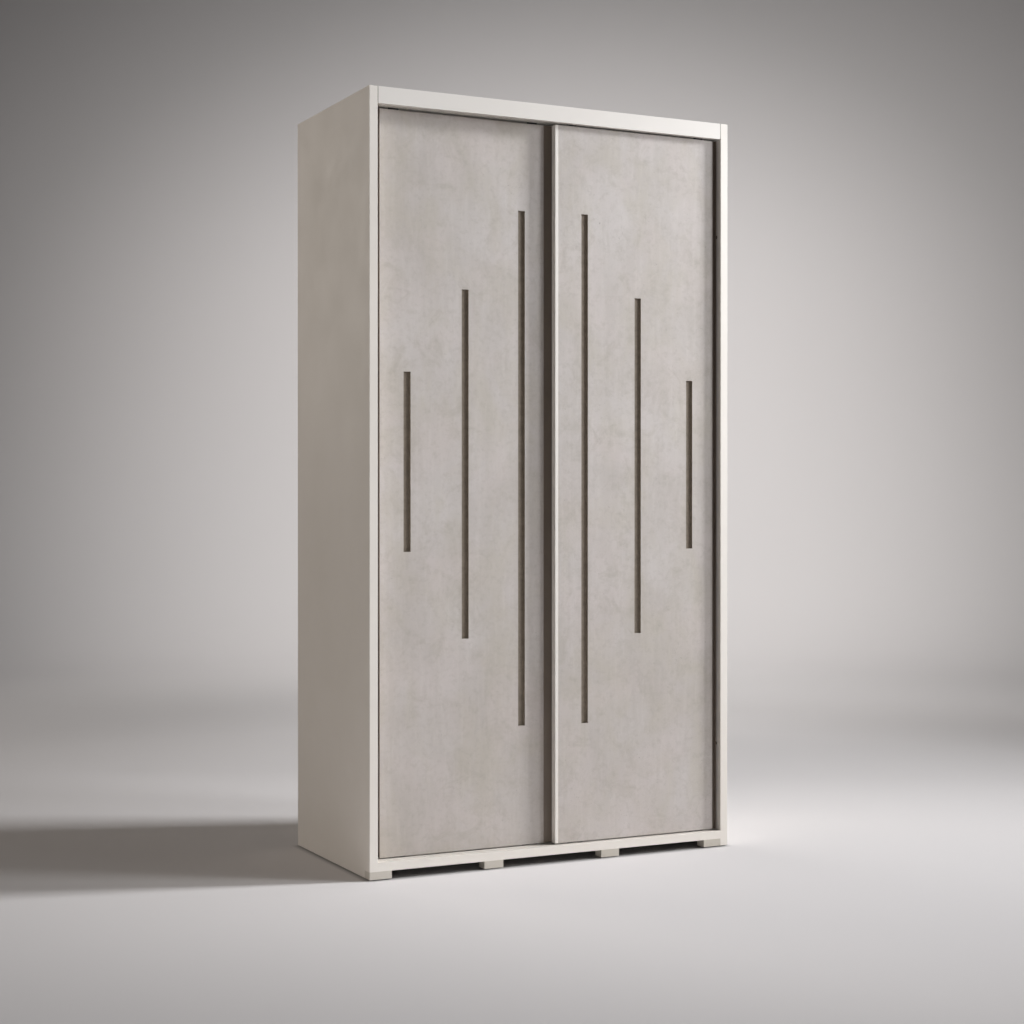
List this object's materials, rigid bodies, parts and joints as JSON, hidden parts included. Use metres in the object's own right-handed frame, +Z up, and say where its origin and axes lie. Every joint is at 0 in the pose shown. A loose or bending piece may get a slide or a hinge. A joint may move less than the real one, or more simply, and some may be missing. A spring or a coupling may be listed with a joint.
{
  "type": "sliding door wardrobe",
  "caption": "Tall laminated wardrobe on low block feet, with bypassing sliding doors in a concrete look, milled vertical grooves, shelves and a hanging rail.",
  "frame": {"origin": "middle of the footprint, on the floor", "axes": "+X to the right along the width, -Y out of the door side, +Z up"},
  "size_m": [1.2, 0.6, 2.25],
  "materials": {
    "carcass_laminate": "matte light grey-beige laminate on chipboard",
    "edge_band": "matte light grey-beige edge band and fascia laminate",
    "rear_board": "thin painted fibreboard",
    "white_plastic": "satin white",
    "chrome_tube": "polished",
    "track_metal": "satin coated",
    "zinc_steel": "bright zinc plate",
    "cam_zinc": "bare die-cast zinc",
    "foot_block": "satin painted block",
    "beech": "raw turned beech",
    "buffer_rubber": "matte",
    "concrete_laminate": "matte concrete-look laminate with fine pits",
    "dark_profile": "matte dark brown coating",
    "light_profile": "satin light grey-beige coating",
    "brush_pile": "short dense pile",
    "black_nylon": "moulded",
    "wheel_nylon": "moulded"
  },
  "bodies": {
    "carcass": {"side_panel_left": "carcass_laminate", "side_panel_right": "carcass_laminate", "edge_band_left": "edge_band", "edge_band_right": "edge_band", "bottom_panel": "carcass_laminate", "bottom_edge_band": "edge_band", "top_panel": "carcass_laminate", "front_fascia": "edge_band", "centre_divider": "carcass_laminate", "rear_panel_left": "rear_board", "rear_panel_right": "rear_board", "rear_joint_strip": "white_plastic", "top_shelf_left": "carcass_laminate", "top_shelf_right": "carcass_laminate", "shelf_1": "carcass_laminate", "shelf_2": "carcass_laminate", "shelf_3": "carcass_laminate", "shelf_4": "carcass_laminate", "hanging_rail": "chrome_tube", "rail_supports": "chrome_tube", "shelf_pins": "zinc_steel", "top_track": "track_metal", "top_track_screws": "zinc_steel", "bottom_track_front": "track_metal", "bottom_track_rear": "track_metal", "closing_stile": "carcass_laminate", "door_buffers": "buffer_rubber", "front_foot_1": "foot_block", "front_foot_2": "foot_block", "front_foot_3": "foot_block", "front_foot_4": "foot_block", "rear_feet": "foot_block", "foot_screws": "zinc_steel", "floor_glides": "black_nylon", "cam_locks": "cam_zinc", "cam_bolts": "zinc_steel", "dowels": "beech", "rear_panel_nails": "zinc_steel", "wall_brackets": "zinc_steel", "fitting_screws": "zinc_steel"},
    "left_door": {"left_door_board": "concrete_laminate", "left_door_closing_profile": "dark_profile", "left_door_overlap_profile": "dark_profile", "left_door_brushes": "brush_pile", "left_door_roller_housings": "black_nylon", "left_door_axles": "zinc_steel", "left_door_top_guides": "black_nylon", "left_door_screws": "zinc_steel"},
    "right_door": {"right_door_board": "concrete_laminate", "right_door_closing_profile": "dark_profile", "right_door_handle_profile": "light_profile", "right_door_brush": "brush_pile", "right_door_roller_housings": "black_nylon", "right_door_axles": "zinc_steel", "right_door_top_guides": "black_nylon", "right_door_screws": "zinc_steel"},
    "left_outer_wheel": {"left_door_wheel_1": "wheel_nylon"},
    "left_inner_wheel": {"left_door_wheel_2": "wheel_nylon"},
    "right_outer_wheel": {"right_door_wheel_1": "wheel_nylon"},
    "right_inner_wheel": {"right_door_wheel_2": "wheel_nylon"}
  },
  "joints": [
    {"name": "left_door_slide", "type": "slide", "parent": "carcass", "child": "left_door", "axis": [1, 0, 0], "range_m": [0, 0.5505]},
    {"name": "right_door_slide", "type": "slide", "parent": "carcass", "child": "right_door", "axis": [1, 0, 0], "range_m": [-0.5725, 0]},
    {"name": "left_outer_wheel_roll", "type": "hinge", "parent": "left_door", "child": "left_outer_wheel", "pos_m": [-0.494, -0.2435, 0.0603], "axis": [0, 1, 0], "range_deg": [0, 1975]},
    {"name": "left_inner_wheel_roll", "type": "hinge", "parent": "left_door", "child": "left_inner_wheel", "pos_m": [-0.0665, -0.2435, 0.0603], "axis": [0, 1, 0], "range_deg": [0, 1975]},
    {"name": "right_outer_wheel_roll", "type": "hinge", "parent": "right_door", "child": "right_outer_wheel", "pos_m": [0.5, -0.2705, 0.0603], "axis": [0, 1, 0], "range_deg": [-2055, 0]},
    {"name": "right_inner_wheel_roll", "type": "hinge", "parent": "right_door", "child": "right_inner_wheel", "pos_m": [0.0725, -0.2705, 0.0603], "axis": [0, 1, 0], "range_deg": [-2055, 0]}
  ],
  "couplings": [
    {"joint": "left_outer_wheel_roll", "follows": "left_door_slide", "rad_per_m": 62.5},
    {"joint": "left_inner_wheel_roll", "follows": "left_door_slide", "rad_per_m": 62.5},
    {"joint": "right_outer_wheel_roll", "follows": "right_door_slide", "rad_per_m": 62.5},
    {"joint": "right_inner_wheel_roll", "follows": "right_door_slide", "rad_per_m": 62.5}
  ]
}
